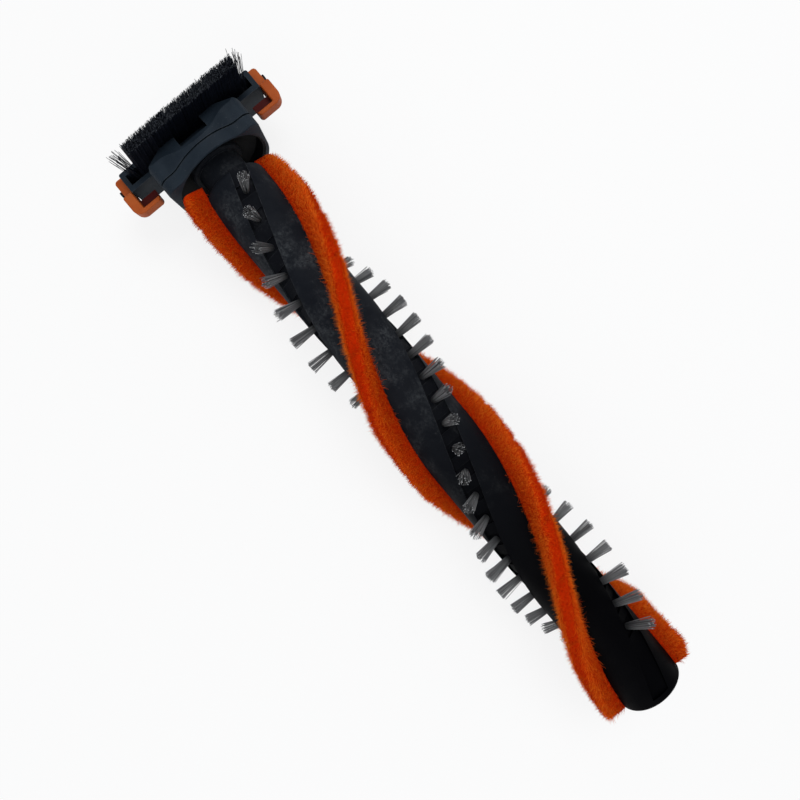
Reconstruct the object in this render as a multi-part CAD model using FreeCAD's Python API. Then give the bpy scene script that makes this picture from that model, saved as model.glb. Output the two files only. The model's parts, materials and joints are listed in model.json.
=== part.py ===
"""Roller brush of a floor-cleaning robot, with the end block it turns in.

Frame: origin at the centre of the drive socket's mouth, on the roller's free end face.
+X runs along the roller's axis and out of that end, +Z is up as the brush lies.
The roller runs along -X to the end block. All lengths are in millimetres.
"""
import FreeCAD
import Part
import math
import os

V = FreeCAD.Vector

# Roller: overall sizes
LAND_R = 13.0
CORE_L = 247.7
CORE_BORE_R = 7.0
LAND_NOSE = 2.5
HELIX_PITCH = 232.7
TUFT_TIP_R = 22.4
PLUSH_TIP_R = 21.8

# Where each helical strip stands upright over the axis
PLUSH_A_TOP_X = -178.7
PLUSH_B_TOP_X = -62.3
ROW_1_TOP_X = -234.0
ROW_2_TOP_X = -117.6

# Channels of the core, and the strips' clearance in them
CHANNEL_FLOOR_R = 9.2
CHANNEL_FIT = 0.1
CUT_OVERRUN = 3.0

# Plush strips
PLUSH_W = 6.6
PLUSH_CROWN = 2.4
PLUSH_NECK_W = 5.8
PLUSH_FOOT_W = 8.2
PLUSH_FOOT_H = 1.6
PLUSH_OVERRUN = 3.8
PLUSH_LIFT = 0.3
PLUSH_FLARE_H = 1.6

# Bristle carriers
CARRIER_TOP_R = 11.8
CARRIER_NECK_W = 7.0
CARRIER_FOOT_W = 9.0
CARRIER_FOOT_H = 1.6

# Bristle tufts
TUFT_SIDES = 8
TUFT_ROOT_R = 1.25
TUFT_TIP_SPREAD_R = 2.4
TUFT_SOCKET_DEPTH = 1.0
TUFT_FIT = 0.05
POCKET_L = 5.0
POCKET_DEPTH = 0.8
ROW_END_MARGIN = 17.0
ROW_1_INSET = 9.5
ROW_1_STEP = 10.94
ROW_1_CLOSING = 0.118
ROW_2_INSET = 11.3
ROW_2_STEP = 9.2
ROW_2_CLOSING = 0.0

# Drive end cap
CAP_FLANGE_T = 2.7
CAP_EDGE_ROUND = 1.4
CAP_SPIGOT_L = 18.0
SOCKET_R = 4.5
SOCKET_L = 5.0
DRIVE_HEX_AF = 7.0
DRIVE_HEX_L = 9.0

# Bearing end of the roller
PLUG_SPIGOT_L = 14.0
PLUG_NECK_R = 9.0
GUARD_R = 11.0
GUARD_T = 3.0
GUARD_EDGE = 0.6
AXLE_R = 2.5
AXLE_GRIP_L = 12.0
AXLE_TIP_CHAMFER = 0.4
PRESS_FIT = 0.02
RUNNING_FIT = 0.05

# End block: hood round the roller's end
MOUTH_GAP = 5.0
MOUTH_EDGE = 0.5
MOUTH_LEAD = 0.8
BAND_W = 4.4
PARTING_W = 0.7
PARTING_DEPTH = 0.8
HOOD_HALF_W = 20.9
HOOD_CROWN_R = 20.5
HOOD_RAMP_DEG = 28.0
SHOULDER_Z = 16.0
SHOULDER_ROUND = 3.5
RAMP_FOOT_ROUND = 7.0
BASE_FLAT = 1.0
CUP_WALL = 1.6
CUP_DEPTH = 13.4
CUP_FLOOR_T = 2.2
CUP_BOSS_GAP = 1.2
SLOPE_START = 1.2
SLOPE_END_Z = 11.2
WAIST_HALF_W = 6.0
WAIST_STRIP = 2.6
WAIST_STEP = 3.0
WAIST_END_Z = 5.0
PAD_CORNER_L = 6.0
PAD_CORNER_W = 8.0
FOOT_HALF_W = 15.0
FOOT_ROUND = 3.0

# End block: bearing
BOSS_R = 6.5
BOSS_L = 5.8
BUSH_R = 4.0
THRUST_R = 5.2
THRUST_T = 0.8
THRUST_GAP = 0.3
CLIP_R = 4.2
CLIP_T = 0.8
CLIP_POCKET_R = 4.7
CLIP_POCKET_DEPTH = 1.7
AXLE_END_GAP = 0.3

# End block: bristle trough
TROUGH_HALF_L = 31.4
TROUGH_W = 8.2
TROUGH_WALL = 1.9
TROUGH_RIM_Z = 4.0
TROUGH_FLOOR_Z = -6.0
TROUGH_BOTTOM_Z = -10.0
TROUGH_CORNER_ROUND = 0.9
REAR_POCKET_DEPTH = 5.5
REAR_POCKET_WALL = 2.2

# Bristle skirt
SKIRT_HALF_L = 24.5
SKIRT_FAN = 0.5
SKIRT_LEAN = 2.9
SKIRT_T = 3.8
SKIRT_TIP_T = 4.6
SKIRT_TIP_Z = 21.5
SKIRT_RIDGE_COUNT = 32
SKIRT_RIDGE_DEPTH = 0.5
BAR_H = 7.4
BAR_FIT = 0.15
BAR_END_GAP = 3.0

# Latches at the trough's ends
LATCH_GAP = 0.3
LATCH_T = 3.2
LATCH_BACK_OVER = 0.4
LATCH_REACH = 8.7
LATCH_HIGH_L = 9.5
LATCH_LEG_L = 7.3
LATCH_LEG_T = 1.7
LATCH_FLOOR_T = 1.4
LATCH_FLOOR_GAP = 2.8
LATCH_LAP = 4.6
LATCH_LOBE = 0.9
LATCH_LOBE_ROUND = 0.8
LATCH_TOP_Z = 3.6
LATCH_LOW_TOP_Z = 1.0
LATCH_LEG_BOTTOM_Z = -1.0
LATCH_BOTTOM_Z = -4.6
LATCH_CORNER_ROUND = 3.6
LATCH_END_ROUND = 1.4
LATCH_EDGE = 0.6
PIN_R = 1.0
PIN_HEAD_R = 1.5
PIN_HEAD_T = 0.9
PIN_HEAD_GAP = 0.1
PIN_Z = -1.6

# Within this an edge counts as lying at a place
NEAR = 0.01

# Places that follow from the sizes above
BASE_Z = -TUFT_TIP_R
ROLLER_FRONT_X = -CAP_FLANGE_T
CORE_END_X = ROLLER_FRONT_X - CORE_L
MOUTH_X = CORE_END_X - MOUTH_GAP
BAND_BACK_X = MOUTH_X - BAND_W
HOUSING_FRONT_X = BAND_BACK_X - PARTING_W
CUP_R = HOOD_CROWN_R - CUP_WALL
CUP_FLOOR_X = MOUTH_X - CUP_DEPTH
BOSS_FRONT_X = CUP_FLOOR_X + BOSS_L
TROUGH_FRONT_X = CUP_FLOOR_X - CUP_FLOOR_T
TROUGH_BACK_X = TROUGH_FRONT_X - TROUGH_W
CAVITY_FRONT_X = TROUGH_FRONT_X - TROUGH_WALL
CAVITY_BACK_X = TROUGH_BACK_X + TROUGH_WALL
SLOPE_START_X = HOUSING_FRONT_X - SLOPE_START
WAIST_START_X = SLOPE_START_X - WAIST_STRIP
SKIRT_MID_X = (CAVITY_FRONT_X + CAVITY_BACK_X) / 2
BUSH_BACK_X = CAVITY_FRONT_X + CLIP_POCKET_DEPTH
GUARD_BACK_X = BOSS_FRONT_X + THRUST_T + THRUST_GAP
LATCH_BACK_X = TROUGH_BACK_X - LATCH_BACK_OVER
LATCH_FRONT_X = TROUGH_FRONT_X + LATCH_REACH
LATCH_STEP_X = LATCH_FRONT_X - LATCH_HIGH_L
LATCH_IN_Y = TROUGH_HALF_L + LATCH_GAP
LATCH_OUT_Y = LATCH_IN_Y + LATCH_T
LATCH_LOBE_Y = LATCH_OUT_Y + LATCH_LOBE


def along_x(shape):
    """Turn a shape built along Z so that its Z runs along X and its X points up."""
    turn = FreeCAD.Placement(FreeCAD.Matrix(0, 0, 1, 0, 0, -1, 0, 0, 1, 0, 0, 0, 0, 0, 0, 1))
    turned = shape.copy()
    turned.Placement = turn.multiply(shape.Placement)
    return turned


def rod(radius, x0, x1):
    """Solid cylinder on the roller's axis from x0 to x1."""
    return Part.makeCylinder(radius, abs(x1 - x0), V(min(x0, x1), 0, 0), V(1, 0, 0))


def block(x0, x1, y0, y1, z0, z1):
    """Box between two corners."""
    return Part.makeBox(x1 - x0, y1 - y0, z1 - z0, V(x0, y0, z0))


def helix_angle(x, top_x):
    """Degrees that a strip standing upright at top_x has turned by x."""
    return 360.0 * (x - top_x) / HELIX_PITCH


def screw_sweep(section, x0, x1, top_x):
    """Sweep a closed section along the roller as a right-hand screw."""
    path = Part.Wire(Part.makeHelix(HELIX_PITCH, x1 - x0, LAND_R).Edges)
    solid = path.makePipeShell([section], True, True)
    solid.rotate(V(0, 0, 0), V(0, 0, 1), helix_angle(x0, top_x))
    solid.translate(V(0, 0, x0))
    return along_x(solid)


def section_wire(half, crown_r=None):
    """Close a half section of (across, radial) points, foot first, by its mirror image.

    With crown_r the top is an arc that rises to that radius, and otherwise it is straight.
    """
    right = [V(radial, across, 0) for across, radial in half]
    left = [V(point.x, -point.y, 0) for point in reversed(right)]
    if crown_r is None:
        return Part.makePolygon(right + left + right[:1])
    crown = Part.Arc(right[-1], V(crown_r, 0, 0), left[0]).toShape()
    rest = Part.makePolygon(left + right)
    return Part.Wire(Part.__sortEdges__(rest.Edges + [crown]))


def tee_section(foot_w, neck_w, foot_h, top_r, grow):
    """Tee section: a wide foot on the channel floor and a narrower neck up to top_r."""
    foot = foot_w / 2 + grow
    neck = neck_w / 2 + grow
    floor_r = CHANNEL_FLOOR_R + CHANNEL_FIT
    foot_top_r = floor_r + foot_h + grow
    return section_wire([(foot, floor_r - grow), (foot, foot_top_r), (neck, foot_top_r), (neck, top_r)])


def plush_section():
    """Plush fin: a tee foot in the channel and a thick pile that rounds off at its tip."""
    foot = PLUSH_FOOT_W / 2
    neck = PLUSH_NECK_W / 2
    pile = PLUSH_W / 2
    foot_r = CHANNEL_FLOOR_R + CHANNEL_FIT
    pile_r = LAND_R + PLUSH_LIFT
    half = [
        (foot, foot_r),
        (foot, foot_r + PLUSH_FOOT_H),
        (neck, foot_r + PLUSH_FOOT_H),
        (neck, pile_r),
        (pile, pile_r + PLUSH_FLARE_H),
        (pile, PLUSH_TIP_R - PLUSH_CROWN),
    ]
    return section_wire(half, PLUSH_TIP_R)


def make_core_tube():
    """Moulded core: a tube with four helical lands between four undercut channels."""
    core = rod(LAND_R, CORE_END_X, ROLLER_FRONT_X)
    nose_edges = [e for e in core.Edges if abs(e.BoundBox.XMax - CORE_END_X) < NEAR and e.Closed]
    core = core.makeFillet(LAND_NOSE, nose_edges)
    open_r = LAND_R + CUT_OVERRUN
    x0 = CORE_END_X - CUT_OVERRUN
    x1 = ROLLER_FRONT_X + CUT_OVERRUN
    plush = tee_section(PLUSH_FOOT_W, PLUSH_NECK_W, PLUSH_FOOT_H, open_r, CHANNEL_FIT)
    carrier = tee_section(CARRIER_FOOT_W, CARRIER_NECK_W, CARRIER_FOOT_H, open_r, CHANNEL_FIT)
    cutters = [
        screw_sweep(plush, x0, x1, PLUSH_A_TOP_X),
        screw_sweep(plush, x0, x1, PLUSH_B_TOP_X),
        screw_sweep(carrier, x0, x1, ROW_1_TOP_X),
        screw_sweep(carrier, x0, x1, ROW_2_TOP_X),
        rod(CORE_BORE_R, x0, x1),
    ]
    for cutter in cutters:
        core = core.cut(cutter)
    return core


def make_plush_strip(top_x):
    """Plush strip slid into its channel, a little proud of the lands at the block's end."""
    return screw_sweep(plush_section(), CORE_END_X - PLUSH_OVERRUN, ROLLER_FRONT_X, top_x)


def octagon(radius, height):
    """Closed wire of a tuft's section at a height along Z."""
    step = 2 * math.pi / TUFT_SIDES
    points = [V(radius * math.cos(k * step), radius * math.sin(k * step), height) for k in range(TUFT_SIDES)]
    return Part.makePolygon(points + points[:1])


def stand_radially(shape, x, top_x):
    """Place a shape built up along Z from the axis so that it stands on a strip at x."""
    placed = shape.copy()
    placed.rotate(V(0, 0, 0), V(1, 0, 0), helix_angle(x, top_x))
    placed.translate(V(x, 0, 0))
    return placed


def tuft_places(inset, step, closing):
    """Axial places of one row's tufts from the block's end, each step shorter by the closing."""
    places = []
    x = CORE_END_X + inset
    while x < ROLLER_FRONT_X - ROW_END_MARGIN:
        places.append(x)
        x += step
        step -= closing
    return places


def make_carrier(top_x, places):
    """Bristle carrier: a strip with raised pads and a pocket with a socket at each tuft."""
    section = tee_section(CARRIER_FOOT_W, CARRIER_NECK_W, CARRIER_FOOT_H, CARRIER_TOP_R, 0)
    strip = screw_sweep(section, CORE_END_X, ROLLER_FRONT_X, top_x)
    pocket_r = CARRIER_TOP_R - POCKET_DEPTH
    pocket = block(-POCKET_L / 2, POCKET_L / 2, -CARRIER_NECK_W, CARRIER_NECK_W, pocket_r, LAND_R)
    socket_r = pocket_r - TUFT_SOCKET_DEPTH
    wires = [octagon(TUFT_ROOT_R + TUFT_FIT, socket_r), octagon(TUFT_ROOT_R + TUFT_FIT, LAND_R)]
    socket = Part.makeLoft(wires, True, True)
    seat = pocket.fuse(socket)
    return strip.cut([stand_radially(seat, x, top_x) for x in places])


def make_tufts(top_x, places):
    """One row of bristle tufts, each rooted in its socket and spreading to its tip."""
    root_r = CARRIER_TOP_R - POCKET_DEPTH - TUFT_SOCKET_DEPTH + TUFT_FIT
    wires = [
        octagon(TUFT_ROOT_R, root_r),
        octagon(TUFT_ROOT_R, CARRIER_TOP_R),
        octagon(TUFT_TIP_SPREAD_R, TUFT_TIP_R),
    ]
    tuft = Part.makeLoft(wires, True, True)
    return Part.makeCompound([stand_radially(tuft, x, top_x) for x in places])


def make_drive_end_cap():
    """Free end: a flange that closes the channels, a spigot and the drive socket."""
    flange = rod(LAND_R, ROLLER_FRONT_X, 0)
    rim = [e for e in flange.Edges if abs(e.BoundBox.XMin) < NEAR and e.Closed]
    flange = flange.makeFillet(CAP_EDGE_ROUND, rim)
    spigot = rod(CORE_BORE_R - PRESS_FIT, ROLLER_FRONT_X - CAP_SPIGOT_L, ROLLER_FRONT_X)
    pilot = rod(SOCKET_R, -SOCKET_L, 0)
    corner_r = DRIVE_HEX_AF / math.sqrt(3)
    corners = [
        V(-SOCKET_L, corner_r * math.cos(k * math.pi / 3), corner_r * math.sin(k * math.pi / 3))
        for k in range(6)
    ]
    hexagon = Part.Face(Part.makePolygon(corners + corners[:1]))
    return flange.fuse(spigot).cut(pilot).cut(hexagon.extrude(V(-DRIVE_HEX_L, 0, 0))).removeSplitter()


def make_journal_plug():
    """Bearing end: a spigot in the core, a neck and a guard flange that keeps hair out."""
    spigot = rod(CORE_BORE_R - PRESS_FIT, CORE_END_X, CORE_END_X + PLUG_SPIGOT_L)
    neck = rod(PLUG_NECK_R, GUARD_BACK_X, CORE_END_X)
    guard = rod(GUARD_R, GUARD_BACK_X, GUARD_BACK_X + GUARD_T)
    guard = guard.makeChamfer(GUARD_EDGE, [e for e in guard.Edges if e.Closed and e.Length > GUARD_R])
    hole = rod(AXLE_R + PRESS_FIT, GUARD_BACK_X, CORE_END_X + AXLE_GRIP_L)
    return spigot.fuse([neck, guard]).removeSplitter().cut(hole)


def make_axle_pin():
    """Ground steel axle, pressed into the journal plug, with its tip just short of the skirt's bar."""
    pin = rod(AXLE_R, CAVITY_FRONT_X + AXLE_END_GAP, CORE_END_X + AXLE_GRIP_L)
    return pin.makeChamfer(AXLE_TIP_CHAMFER, [e for e in pin.Edges if e.Closed and e.Length > AXLE_R])


def make_retaining_washer():
    """Push-on washer that keeps the axle in the bush."""
    front_x = BUSH_BACK_X - THRUST_GAP
    return rod(CLIP_R, front_x - CLIP_T, front_x).cut(rod(AXLE_R + PRESS_FIT, front_x - CLIP_T, front_x))


def rounded_wire(corners):
    """Closed wire through (point, radius) corners, each turned by an arc of its radius."""
    arcs = []
    for k, (point, radius) in enumerate(corners):
        before = (corners[k - 1][0] - point).normalize()
        after = (corners[(k + 1) % len(corners)][0] - point).normalize()
        half_angle = before.getAngle(after) / 2
        tangent = radius / math.tan(half_angle)
        inward = (before + after).normalize()
        middle = point + inward * (radius / math.sin(half_angle) - radius)
        arcs.append((point + before * tangent, middle, point + after * tangent))
    edges = []
    for k, (start, middle, end) in enumerate(arcs):
        edges.append(Part.Arc(start, middle, end).toShape())
        edges.append(Part.LineSegment(end, arcs[(k + 1) % len(arcs)][0]).toShape())
    return Part.Wire(edges)


def hood_length(x0, x1, inset=0.0):
    """Length of the hood's section from x0 to x1: crown, ramps, shoulders, sides and round belly."""
    half_w = HOOD_HALF_W - inset
    crown_r = HOOD_CROWN_R - inset
    shoulder_z = SHOULDER_Z - inset
    base_z = BASE_Z + inset
    ramp = math.radians(HOOD_RAMP_DEG)
    apex_z = crown_r / math.cos(ramp)
    ramp_foot_y = (apex_z - shoulder_z) / math.tan(ramp)
    right = [
        (V(x0, ramp_foot_y, shoulder_z), RAMP_FOOT_ROUND),
        (V(x0, half_w, shoulder_z), SHOULDER_ROUND),
        (V(x0, half_w, base_z), half_w - BASE_FLAT),
    ]
    left = [(V(x0, -point.y, point.z), radius) for point, radius in reversed(right)]
    section = rounded_wire([(V(x0, 0, apex_z), crown_r)] + right + left)
    return Part.Face(section).extrude(V(x1 - x0, 0, 0))


def make_mouth_collar():
    """Front band of the hood, with the narrow inner step that leaves the parting line."""
    band = hood_length(BAND_BACK_X, MOUTH_X)
    front = [e for e in band.Edges if e.BoundBox.XMin > MOUTH_X - NEAR]
    band = band.makeFillet(MOUTH_EDGE, front)
    step = hood_length(HOUSING_FRONT_X, BAND_BACK_X, PARTING_DEPTH)
    lead = Part.makeCone(CUP_R, CUP_R + MOUTH_LEAD, MOUTH_LEAD, V(MOUTH_X - MOUTH_LEAD, 0, 0), V(1, 0, 0))
    return band.fuse(step).cut([rod(CUP_R, HOUSING_FRONT_X, MOUTH_X), lead])


def slope_z(x):
    """Height of the hood's sloping top behind the parting line."""
    fall = (HOOD_CROWN_R - SLOPE_END_Z) / (SLOPE_START_X - CAVITY_FRONT_X)
    return HOOD_CROWN_R - fall * (SLOPE_START_X - x)


def cup_space():
    """Conical inside of the cup, narrowing to the boss so that it stays under the waist."""
    floor_r = BOSS_R + CUP_BOSS_GAP
    depth = HOUSING_FRONT_X - CUP_FLOOR_X
    return Part.makeCone(floor_r, CUP_R, depth, V(CUP_FLOOR_X, 0, 0), V(1, 0, 0))


def trough_body():
    """Walls and floor of the bristle trough, open at the top, with rounded rear corners."""
    outer = block(
        TROUGH_BACK_X, TROUGH_FRONT_X, -TROUGH_HALF_L, TROUGH_HALF_L, TROUGH_BOTTOM_Z, TROUGH_RIM_Z
    )
    rear = [upright_at(outer, TROUGH_BACK_X, side * TROUGH_HALF_L) for side in (1, -1)]
    return outer.makeFillet(TROUGH_CORNER_ROUND, rear)


def slope_cutter(start_x, start_z, end_z, half_w):
    """Wedge that lets the hood's top fall away from start_x towards the trough."""
    above_z = HOOD_CROWN_R + CUT_OVERRUN
    corners = [
        V(start_x, -half_w, start_z),
        V(CAVITY_FRONT_X, -half_w, end_z),
        V(CAVITY_FRONT_X, -half_w, above_z),
        V(start_x, -half_w, above_z),
    ]
    return Part.Face(Part.makePolygon(corners + corners[:1])).extrude(V(0, 2 * half_w, 0))


def pad_corner(side):
    """Prism that takes the outer rear corner off a shoulder pad, above the trough's rim."""
    in_y = side * (HOOD_HALF_W - PAD_CORNER_W)
    reach = 1 + CUT_OVERRUN / PAD_CORNER_W
    out_y = in_y + side * PAD_CORNER_W * reach
    front_x = CAVITY_FRONT_X + PAD_CORNER_L * reach
    corners = [
        V(CAVITY_FRONT_X, in_y, TROUGH_RIM_Z),
        V(front_x, out_y, TROUGH_RIM_Z),
        V(CAVITY_FRONT_X, out_y, TROUGH_RIM_Z),
    ]
    return Part.Face(Part.makePolygon(corners + corners[:1])).extrude(V(0, 0, HOOD_CROWN_R))


def foot_body():
    """Flat foot under the hood and the trough, with its long lower edges rounded."""
    foot = block(TROUGH_BACK_X, HOUSING_FRONT_X, -FOOT_HALF_W, FOOT_HALF_W, BASE_Z, TROUGH_BOTTOM_Z)
    long_edges = [e for e in foot.Edges if e.BoundBox.ZMax < BASE_Z + NEAR and e.BoundBox.YLength < NEAR]
    return foot.makeFillet(FOOT_ROUND, long_edges)


def make_bearing_housing():
    """End block: hood and cup, boss for the bush, bristle trough and hollow foot."""
    slope = slope_cutter(SLOPE_START_X, HOOD_CROWN_R, SLOPE_END_Z, TROUGH_HALF_L)
    waist_z = slope_z(WAIST_START_X) - WAIST_STEP
    waist = slope_cutter(WAIST_START_X, waist_z, WAIST_END_Z, WAIST_HALF_W)
    hood = hood_length(CAVITY_FRONT_X, HOUSING_FRONT_X).fuse(foot_body())
    body = hood.cut([slope, waist, pad_corner(1), pad_corner(-1), cup_space()])
    body = body.fuse([trough_body(), rod(BOSS_R, CUP_FLOOR_X, BOSS_FRONT_X)]).removeSplitter()
    inner_y = TROUGH_HALF_L - TROUGH_WALL
    body = body.cut(
        block(CAVITY_BACK_X, CAVITY_FRONT_X, -inner_y, inner_y, TROUGH_FLOOR_Z, HOOD_CROWN_R)
    )
    body = body.cut(rod(BUSH_R + PRESS_FIT, CAVITY_FRONT_X, BOSS_FRONT_X))
    body = body.cut(rod(CLIP_POCKET_R, CAVITY_FRONT_X, BUSH_BACK_X))
    for side in (1, -1):
        hole_y = min(side * inner_y, side * TROUGH_HALF_L)
        body = body.cut(
            Part.makeCylinder(PIN_R + PRESS_FIT, TROUGH_WALL, V(SKIRT_MID_X, hole_y, PIN_Z), V(0, 1, 0))
        )
        body = body.cut(rear_pocket(side))
    return body


def rear_pocket(side):
    """Lightening pocket in the foot's rear face, on one side of the middle rib."""
    y_in = side * REAR_POCKET_WALL / 2
    y_out = side * (FOOT_HALF_W - REAR_POCKET_WALL)
    return block(
        TROUGH_BACK_X,
        TROUGH_BACK_X + REAR_POCKET_DEPTH,
        min(y_in, y_out),
        max(y_in, y_out),
        BASE_Z + REAR_POCKET_WALL,
        TROUGH_BOTTOM_Z - REAR_POCKET_WALL / 2,
    )


def make_bearing_bush():
    """Plain bush pressed into the boss."""
    return rod(BUSH_R, BUSH_BACK_X, BOSS_FRONT_X).cut(rod(AXLE_R + RUNNING_FIT, BUSH_BACK_X, BOSS_FRONT_X))


def make_thrust_washer():
    """Slippery washer between the boss and the roller's guard flange."""
    x1 = BOSS_FRONT_X + THRUST_T
    return rod(THRUST_R, BOSS_FRONT_X, x1).cut(rod(AXLE_R + RUNNING_FIT, BOSS_FRONT_X, x1))


def make_skirt_bar():
    """Backing bar that holds the skirt's bristles, seated on the trough's floor."""
    half_t = (CAVITY_FRONT_X - CAVITY_BACK_X) / 2 - BAR_FIT
    half_l = TROUGH_HALF_L - TROUGH_WALL - BAR_END_GAP
    back_x = SKIRT_MID_X - half_t
    front_x = SKIRT_MID_X + half_t
    return block(back_x, front_x, -half_l, half_l, TROUGH_FLOOR_Z, TROUGH_FLOOR_Z + BAR_H)


def ridged_wire(half_l, thickness, z, mid_y=0.0):
    """Outline of the skirt at one height, with ridges of bristles down both faces."""
    step = 2 * half_l / SKIRT_RIDGE_COUNT
    face = []
    for k in range(SKIRT_RIDGE_COUNT + 1):
        y = mid_y - half_l + k * step
        inset = SKIRT_RIDGE_DEPTH if k % 2 else 0.0
        face.append((y, thickness / 2 - inset))
    points = [V(SKIRT_MID_X + depth, y, z) for y, depth in face]
    points += [V(SKIRT_MID_X - depth, y, z) for y, depth in reversed(face)]
    return Part.makePolygon(points + points[:1])


def make_skirt_bristles():
    """Dense bristle skirt, leaning to one side and fanning out a little from its bar to the tips."""
    root_z = TROUGH_FLOOR_Z + BAR_H
    root = ridged_wire(SKIRT_HALF_L, SKIRT_T, root_z)
    tips = ridged_wire(SKIRT_HALF_L + SKIRT_FAN, SKIRT_TIP_T, SKIRT_TIP_Z, SKIRT_LEAN)
    return Part.makeLoft([root, tips], True, True)


def make_latch(side):
    """L-shaped latch: a cranked arm, a lobe at its corner, a leg turned inwards and a thin floor behind it."""
    def across(y0, y1):
        return min(side * y0, side * y1), max(side * y0, side * y1)

    arm_y = across(LATCH_IN_Y, LATCH_OUT_Y)
    lobe_y = across(LATCH_IN_Y, LATCH_LOBE_Y)
    leg_y = across(LATCH_IN_Y - LATCH_LEG_L, LATCH_LOBE_Y)
    leg_back_x = LATCH_FRONT_X - LATCH_LEG_T
    floor_back_x = TROUGH_FRONT_X + LATCH_FLOOR_GAP
    floor_z = LATCH_LEG_BOTTOM_Z + LATCH_FLOOR_T
    arm = block(LATCH_BACK_X, LATCH_STEP_X + LATCH_LAP, *arm_y, LATCH_BOTTOM_Z, LATCH_LOW_TOP_Z)
    high_arm = block(LATCH_STEP_X, LATCH_FRONT_X, *lobe_y, LATCH_LEG_BOTTOM_Z, LATCH_TOP_Z)
    leg = block(leg_back_x, LATCH_FRONT_X, *leg_y, LATCH_LEG_BOTTOM_Z, LATCH_TOP_Z)
    floor = block(floor_back_x, LATCH_FRONT_X, *leg_y, LATCH_LEG_BOTTOM_Z, floor_z)
    latch = arm.fuse([high_arm, leg, floor]).removeSplitter()
    latch = latch.makeFillet(LATCH_CORNER_ROUND, [upright_at(latch, LATCH_FRONT_X, side * LATCH_LOBE_Y)])
    latch = latch.makeFillet(LATCH_LOBE_ROUND, [upright_at(latch, LATCH_STEP_X, side * LATCH_LOBE_Y)])
    ends = [
        upright_at(latch, LATCH_FRONT_X, side * (LATCH_IN_Y - LATCH_LEG_L)),
        upright_at(latch, LATCH_BACK_X, side * LATCH_OUT_Y),
    ]
    latch = latch.makeFillet(LATCH_END_ROUND, ends)
    top = [e for e in latch.Edges if e.BoundBox.ZMin > LATCH_TOP_Z - NEAR]
    latch = latch.makeFillet(LATCH_EDGE, top)
    bottom = [e for e in latch.Edges if abs(e.BoundBox.ZMax - LATCH_BOTTOM_Z) < NEAR]
    latch = latch.makeChamfer(LATCH_EDGE, bottom)
    hole = Part.makeCylinder(PIN_R + RUNNING_FIT, LATCH_T, V(SKIRT_MID_X, arm_y[0], PIN_Z), V(0, 1, 0))
    return latch.cut(hole)


def upright_at(shape, x, y):
    """The upright edge of a shape at one plan corner."""
    found = [
        e for e in shape.Edges
        if e.BoundBox.XLength < NEAR and e.BoundBox.YLength < NEAR
        and abs(e.BoundBox.XMin - x) < NEAR and abs(e.BoundBox.YMin - y) < NEAR
    ]
    return found[0]


def make_latch_pin(side):
    """Headed pin pressed into the trough's end wall, on which a latch turns."""
    root_y = TROUGH_HALF_L - TROUGH_WALL
    head_y = LATCH_OUT_Y + PIN_HEAD_GAP
    outward = V(0, side, 0)
    shank = Part.makeCylinder(PIN_R, head_y - root_y, V(SKIRT_MID_X, side * root_y, PIN_Z), outward)
    head = Part.makeCylinder(PIN_HEAD_R, PIN_HEAD_T, V(SKIRT_MID_X, side * head_y, PIN_Z), outward)
    return shank.fuse(head).removeSplitter()


def main():
    row_1 = tuft_places(ROW_1_INSET, ROW_1_STEP, ROW_1_CLOSING)
    row_2 = tuft_places(ROW_2_INSET, ROW_2_STEP, ROW_2_CLOSING)
    nodes = {
        "core_tube": make_core_tube(),
        "plush_strip_a": make_plush_strip(PLUSH_A_TOP_X),
        "plush_strip_b": make_plush_strip(PLUSH_B_TOP_X),
        "bristle_carrier_1": make_carrier(ROW_1_TOP_X, row_1),
        "bristle_carrier_2": make_carrier(ROW_2_TOP_X, row_2),
        "bristle_tufts_1": make_tufts(ROW_1_TOP_X, row_1),
        "bristle_tufts_2": make_tufts(ROW_2_TOP_X, row_2),
        "drive_end_cap": make_drive_end_cap(),
        "journal_plug": make_journal_plug(),
        "axle_pin": make_axle_pin(),
        "retaining_washer": make_retaining_washer(),
        "bearing_housing": make_bearing_housing(),
        "mouth_collar": make_mouth_collar(),
        "bearing_bush": make_bearing_bush(),
        "thrust_washer": make_thrust_washer(),
        "skirt_backing_bar": make_skirt_bar(),
        "skirt_bristles": make_skirt_bristles(),
        "latch_left": make_latch(-1),
        "latch_right": make_latch(1),
        "latch_pin_left": make_latch_pin(-1),
        "latch_pin_right": make_latch_pin(1),
    }
    os.makedirs("parts", exist_ok=True)
    for name, shape in nodes.items():
        shape.exportStep("parts/" + name + ".step")
        print(name, len(shape.Solids), shape.isValid(), round(shape.Volume, 1))


main()
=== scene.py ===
"""Roller brush of a floor-cleaning robot: pile, bristles, finishes, light and camera."""

import json
import math

import bpy
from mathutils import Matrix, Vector, noise


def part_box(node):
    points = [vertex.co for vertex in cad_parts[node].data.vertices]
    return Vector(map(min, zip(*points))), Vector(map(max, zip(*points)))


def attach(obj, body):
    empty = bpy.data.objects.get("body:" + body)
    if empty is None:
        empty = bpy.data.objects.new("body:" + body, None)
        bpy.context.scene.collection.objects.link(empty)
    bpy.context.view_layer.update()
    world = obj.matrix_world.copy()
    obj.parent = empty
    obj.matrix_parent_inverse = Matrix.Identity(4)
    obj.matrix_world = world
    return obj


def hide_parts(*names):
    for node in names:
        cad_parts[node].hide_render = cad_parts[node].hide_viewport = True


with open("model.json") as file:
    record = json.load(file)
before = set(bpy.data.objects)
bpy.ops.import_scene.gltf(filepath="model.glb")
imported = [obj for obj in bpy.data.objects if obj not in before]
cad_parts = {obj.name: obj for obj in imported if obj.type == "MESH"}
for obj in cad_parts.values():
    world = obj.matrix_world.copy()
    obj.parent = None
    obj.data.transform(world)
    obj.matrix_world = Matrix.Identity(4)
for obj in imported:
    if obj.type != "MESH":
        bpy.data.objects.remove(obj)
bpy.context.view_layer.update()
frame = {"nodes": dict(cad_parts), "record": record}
nodes = frame["nodes"]

MM = 0.001
TURN = 2 * math.pi

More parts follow.
